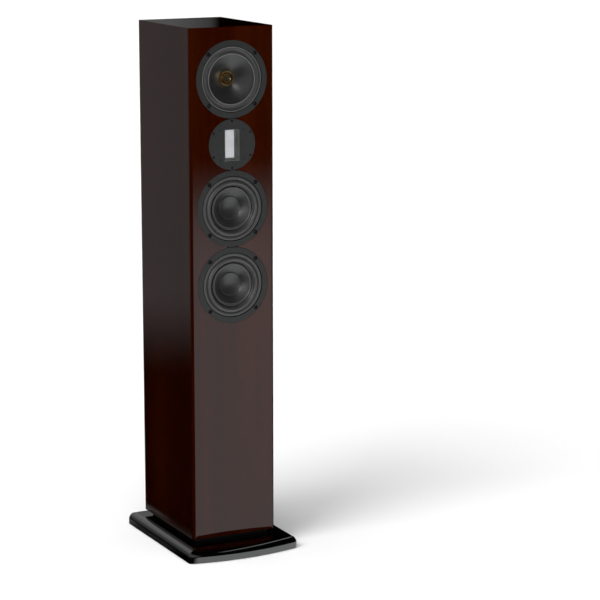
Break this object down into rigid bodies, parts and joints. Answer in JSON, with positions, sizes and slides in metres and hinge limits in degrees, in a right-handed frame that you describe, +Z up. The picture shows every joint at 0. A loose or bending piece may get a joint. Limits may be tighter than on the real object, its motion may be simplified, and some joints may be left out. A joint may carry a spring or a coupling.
{
  "type": "floorstanding speaker",
  "caption": "Tall veneered loudspeaker cabinet on a bowed gloss plinth, with cone drivers, a ribbon tweeter with a round faceplate, a rear port and binding posts.",
  "frame": {"origin": "on the floor, at the centre of the plinth's bounding rectangle", "axes": "+Z up, the drivers face -Y, +X to the right of someone facing the drivers"},
  "size_m": [0.2788, 0.3822, 1.219],
  "materials": {
    "veneer": "dark red-brown mahogany veneer under clear high-gloss lacquer",
    "fibreboard": "raw medium-density fibreboard, hidden behind the veneer",
    "black_lacquer": "gloss black lacquer over fibreboard",
    "riser_black": "black stained fibreboard",
    "pad_rubber": "matt black rubber",
    "bolt_steel": "black oxide steel",
    "basket_alloy": "cast aluminium with a satin dark grey coat",
    "surround_rubber": "satin dark grey moulded rubber",
    "cone": "smooth satin graphite-grey polymer",
    "coil_former": "copper-gold coil former and winding",
    "spider_cloth": "resin-dipped yellow cotton",
    "plated_steel": "zinc-plated steel",
    "ferrite": "dark sintered ferrite",
    "brass": "polished brass",
    "black_mesh": "fine black perforated metal",
    "ribbon_foil": "bright pleated aluminium foil",
    "black_plastic": "fine-textured black moulded plastic",
    "gold_plate": "gold-plated brass",
    "red_knob": "red insulating plastic",
    "black_knob": "black insulating plastic",
    "circuit_board": "green circuit board with its coils and capacitors"
  },
  "bodies": {
    "enclosure": {"veneer_skin": "veneer", "front_baffle": "fibreboard", "side_panel_left": "fibreboard", "side_panel_right": "fibreboard", "top_panel": "fibreboard", "bottom_panel": "fibreboard", "rear_panel": "fibreboard", "chamber_shelf": "fibreboard", "window_brace": "fibreboard", "plinth": "black_lacquer", "plinth_riser": "riser_black", "floor_pad_front_left": "pad_rubber", "floor_pad_front_right": "pad_rubber", "floor_pad_rear_left": "pad_rubber", "floor_pad_rear_right": "pad_rubber", "plinth_bolt_front_left": "bolt_steel", "plinth_bolt_front_right": "bolt_steel", "plinth_bolt_rear_left": "bolt_steel", "plinth_bolt_rear_right": "bolt_steel", "mid_basket": "basket_alloy", "mid_surround": "surround_rubber", "mid_phase_plug": "brass", "mid_spider": "spider_cloth", "mid_top_plate": "plated_steel", "mid_magnet": "ferrite", "mid_pole_yoke": "plated_steel", "upper_woofer_basket": "basket_alloy", "upper_woofer_surround": "surround_rubber", "upper_woofer_spider": "spider_cloth", "upper_woofer_top_plate": "plated_steel", "upper_woofer_magnet": "ferrite", "upper_woofer_pole_yoke": "plated_steel", "lower_woofer_basket": "basket_alloy", "lower_woofer_surround": "surround_rubber", "lower_woofer_spider": "spider_cloth", "lower_woofer_top_plate": "plated_steel", "lower_woofer_magnet": "ferrite", "lower_woofer_pole_yoke": "plated_steel", "tweeter_faceplate": "basket_alloy", "tweeter_grille": "black_mesh", "tweeter_ribbon": "ribbon_foil", "tweeter_motor": "plated_steel", "tweeter_rear_chamber": "black_plastic", "port_tube": "black_plastic", "terminal_cup": "black_plastic", "post_red": "gold_plate", "post_black": "gold_plate", "crossover_board": "circuit_board"},
    "mid_diaphragm": {"mid_cone": "cone", "mid_voice_coil": "coil_former"},
    "upper_woofer_diaphragm": {"upper_woofer_cone": "cone", "upper_woofer_dust_cap": "cone", "upper_woofer_voice_coil": "coil_former"},
    "lower_woofer_diaphragm": {"lower_woofer_cone": "cone", "lower_woofer_dust_cap": "cone", "lower_woofer_voice_coil": "coil_former"},
    "red_washer": {"post_washer_red": "gold_plate"},
    "red_knob": {"post_knob_red": "red_knob"},
    "black_washer": {"post_washer_black": "gold_plate"},
    "black_knob": {"post_knob_black": "black_knob"}
  },
  "joints": [
    {"name": "mid_cone_travel", "type": "slide", "parent": "enclosure", "child": "mid_diaphragm", "axis": [0, -1, 0], "range_m": [-0.003, 0.003], "stiffness_N_per_m": 1200, "deforming": ["mid_surround", "mid_spider"]},
    {"name": "upper_woofer_cone_travel", "type": "slide", "parent": "enclosure", "child": "upper_woofer_diaphragm", "axis": [0, -1, 0], "range_m": [-0.006, 0.006], "stiffness_N_per_m": 800, "deforming": ["upper_woofer_surround", "upper_woofer_spider"]},
    {"name": "lower_woofer_cone_travel", "type": "slide", "parent": "enclosure", "child": "lower_woofer_diaphragm", "axis": [0, -1, 0], "range_m": [-0.006, 0.006], "stiffness_N_per_m": 800, "deforming": ["lower_woofer_surround", "lower_woofer_spider"]},
    {"name": "red_washer_travel", "type": "slide", "parent": "enclosure", "child": "red_washer", "axis": [0, 1, 0], "range_m": [0, 0.0081]},
    {"name": "red_knob_turn", "type": "hinge", "parent": "red_washer", "child": "red_knob", "pos_m": [-0.019, 0.1273, 0.165], "axis": [0, 1, 0], "range_deg": [0, 2304]},
    {"name": "black_washer_travel", "type": "slide", "parent": "enclosure", "child": "black_washer", "axis": [0, 1, 0], "range_m": [0, 0.0081]},
    {"name": "black_knob_turn", "type": "hinge", "parent": "black_washer", "child": "black_knob", "pos_m": [0.019, 0.1273, 0.165], "axis": [0, 1, 0], "range_deg": [0, 2304]}
  ],
  "couplings": [
    {"joint": "red_washer_travel", "follows": "red_knob_turn", "m_per_rad": 0.00019894},
    {"joint": "black_washer_travel", "follows": "black_knob_turn", "m_per_rad": 0.00019894}
  ]
}
